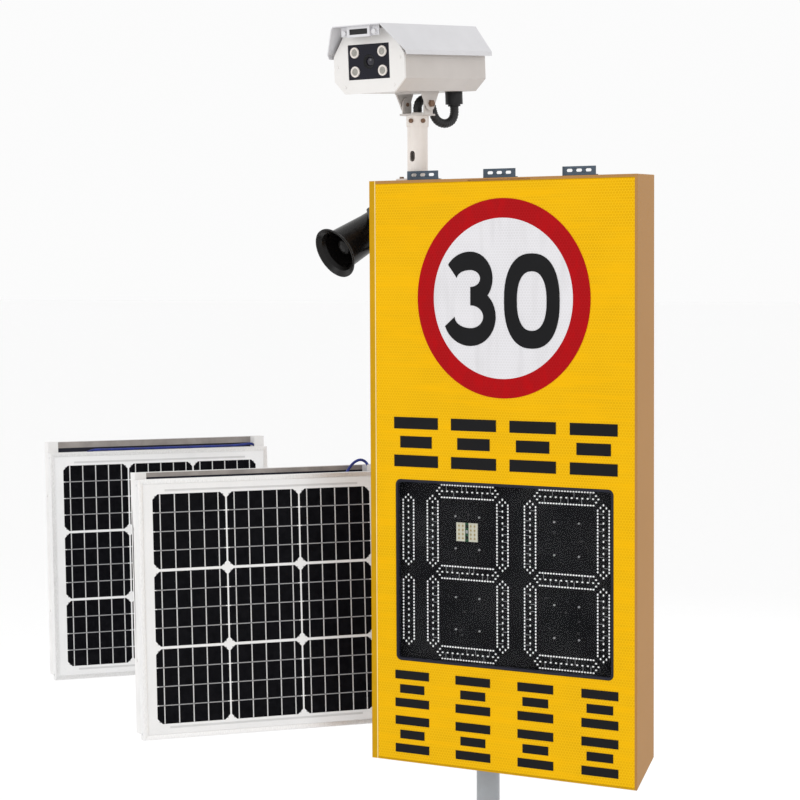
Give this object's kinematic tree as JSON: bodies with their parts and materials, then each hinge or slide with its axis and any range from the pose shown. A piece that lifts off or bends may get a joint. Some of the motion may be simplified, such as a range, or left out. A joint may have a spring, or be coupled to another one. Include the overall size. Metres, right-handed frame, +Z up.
{
  "type": "solar speed sign",
  "caption": "Pole-mounted solar speed limit sign box with disc, LED speed display, camera, horn and tilting solar panels.",
  "frame": {"origin": "centre of the pole's base plate at ground level", "axes": "+X along the sign to the viewer's right, +Y away from the traffic that reads it, +Z up"},
  "size_m": [1.7434, 1.0543, 2.0206],
  "materials": {
    "galvanised": "galvanised",
    "base_paint": "satin",
    "box_paint": "satin",
    "yellow_film": "reflective film",
    "red_film": "reflective film",
    "white_film": "reflective film",
    "black_film": "matt",
    "seal_rubber": "matt",
    "pane": "gloss",
    "board_black": "matt",
    "led_white": "gloss",
    "ceramic_board": "matt",
    "zinc_screw": "zinc plated",
    "sheet_steel": "bare sheet",
    "circuit_green": "solder mask",
    "controller_blue": "anodised",
    "battery_case": "matt",
    "amplifier_case": "anodised",
    "black_plastic": "matt",
    "red_plastic": "gloss",
    "white_paint": "satin",
    "camera_paint": "powder coated",
    "shade_paint": "powder coated",
    "camera_glass": "gloss",
    "lamp_ring": "gloss",
    "lens": "gloss",
    "horn_black": "gloss",
    "horn_steel": "satin",
    "panel_aluminium": "anodised",
    "panel_glass": "glass over cells",
    "carrier_white": "powder coated",
    "lead_blue": "satin"
  },
  "bodies": {
    "stand": {"base_plate": "base_paint", "pole": "galvanised", "pole_cap": "black_plastic", "rear_rails": "galvanised", "clamp_straps": "galvanised", "clamp_bolts": "zinc_screw", "housing": "box_paint", "front_panel": "yellow_film", "disc_ring": "red_film", "disc_field": "white_film", "disc_numerals": "black_film", "legend_marks": "black_film", "window_gasket": "seal_rubber", "window_pane": "pane", "led_board": "board_black", "segments_hundreds": "led_white", "segments_tens": "led_white", "segments_units": "led_white", "radar_module": "ceramic_board", "board_screws": "zinc_screw", "chassis_plate": "sheet_steel", "control_board": "circuit_green", "charge_controller": "controller_blue", "battery_pack": "battery_case", "horn_amplifier": "amplifier_case", "power_switch": "black_plastic", "top_brackets": "galvanised", "cable_glands": "black_plastic", "door_gasket": "seal_rubber", "door_hinges": "zinc_screw", "camera_mast": "white_paint", "mast_screws": "zinc_screw", "outrigger": "galvanised"},
    "door": {"rear_door": "box_paint"},
    "lock": {"cam_lock": "zinc_screw"},
    "rocker": {"power_rocker": "red_plastic"},
    "pan_head": {"camera_yoke": "camera_paint"},
    "camera": {"camera_cradle": "camera_paint", "tilt_bolts": "zinc_screw", "camera_housing": "camera_paint", "camera_face_plate": "camera_paint", "camera_window": "camera_glass", "camera_lamps": "lamp_ring", "camera_lens": "lens", "camera_gland": "black_plastic", "camera_conduit": "seal_rubber"},
    "shade": {"sunshield": "shade_paint"},
    "horn_arm": {"horn_bracket": "horn_steel"},
    "horn": {"horn_bell": "horn_black", "horn_driver": "horn_black"},
    "near_head": {"near_knuckle": "galvanised"},
    "near_panel": {"near_frame": "panel_aluminium", "near_laminate": "panel_glass", "near_carrier": "carrier_white", "near_lead": "lead_blue"},
    "far_head": {"far_knuckle": "galvanised"},
    "far_panel": {"far_frame": "panel_aluminium", "far_laminate": "panel_glass", "far_carrier": "carrier_white", "far_lead": "lead_blue"}
  },
  "joints": [
    {"name": "rear_door_hinge", "type": "hinge", "parent": "stand", "child": "door", "pos_m": [0.397, -0.043, 0.9], "axis": [0, 0, -1], "range_deg": [0, 110]},
    {"name": "cam_lock_turn", "type": "hinge", "parent": "door", "child": "lock", "pos_m": [0.084, -0.045, 0.9], "axis": [0, -1, 0], "range_deg": [0, 90]},
    {"name": "power_rocker_tilt", "type": "hinge", "parent": "stand", "child": "rocker", "pos_m": [0.12, -0.076, 1.06], "axis": [1, 0, 0], "range_deg": [-12, 12]},
    {"name": "camera_pan", "type": "hinge", "parent": "stand", "child": "pan_head", "pos_m": [-0.114, -0.084, 1.82], "axis": [0, 0, 1], "range_deg": [-45, 45]},
    {"name": "camera_tilt", "type": "hinge", "parent": "pan_head", "child": "camera", "pos_m": [-0.114, -0.084, 1.856], "axis": [0.9962, -0.0872, 0], "range_deg": [-20, 30], "deforming": ["camera_conduit"]},
    {"name": "sunshield_slide", "type": "slide", "parent": "camera", "child": "shade", "axis": [-0.087, -0.9948, -0.0523], "range_m": [-0.012, 0.012]},
    {"name": "horn_arm_roll", "type": "hinge", "parent": "stand", "child": "horn_arm", "pos_m": [-0.21, -0.0792, 1.5729], "axis": [1, 0, 0], "range_deg": [-57, 33]},
    {"name": "horn_turn", "type": "hinge", "parent": "horn_arm", "child": "horn", "pos_m": [-0.264, -0.00785, 1.6093], "axis": [0, -0.454, 0.891], "range_deg": [-30, 10]},
    {"name": "near_panel_swivel", "type": "hinge", "parent": "stand", "child": "near_head", "pos_m": [-0.549, -0.087, 0.806], "axis": [0, 0, 1], "range_deg": [-50, 5]},
    {"name": "near_panel_tilt", "type": "hinge", "parent": "near_head", "child": "near_panel", "pos_m": [-0.51664, -0.11051, 0.806], "axis": [-0.5878, -0.809, 0], "range_deg": [0, 25]},
    {"name": "far_panel_swivel", "type": "hinge", "parent": "stand", "child": "far_head", "pos_m": [-1.201, 0.385, 0.806], "axis": [0, 0, 1], "range_deg": [-50, 5]},
    {"name": "far_panel_tilt", "type": "hinge", "parent": "far_head", "child": "far_panel", "pos_m": [-1.16864, 0.36149, 0.806], "axis": [-0.5878, -0.809, 0], "range_deg": [0, 45]}
  ]
}
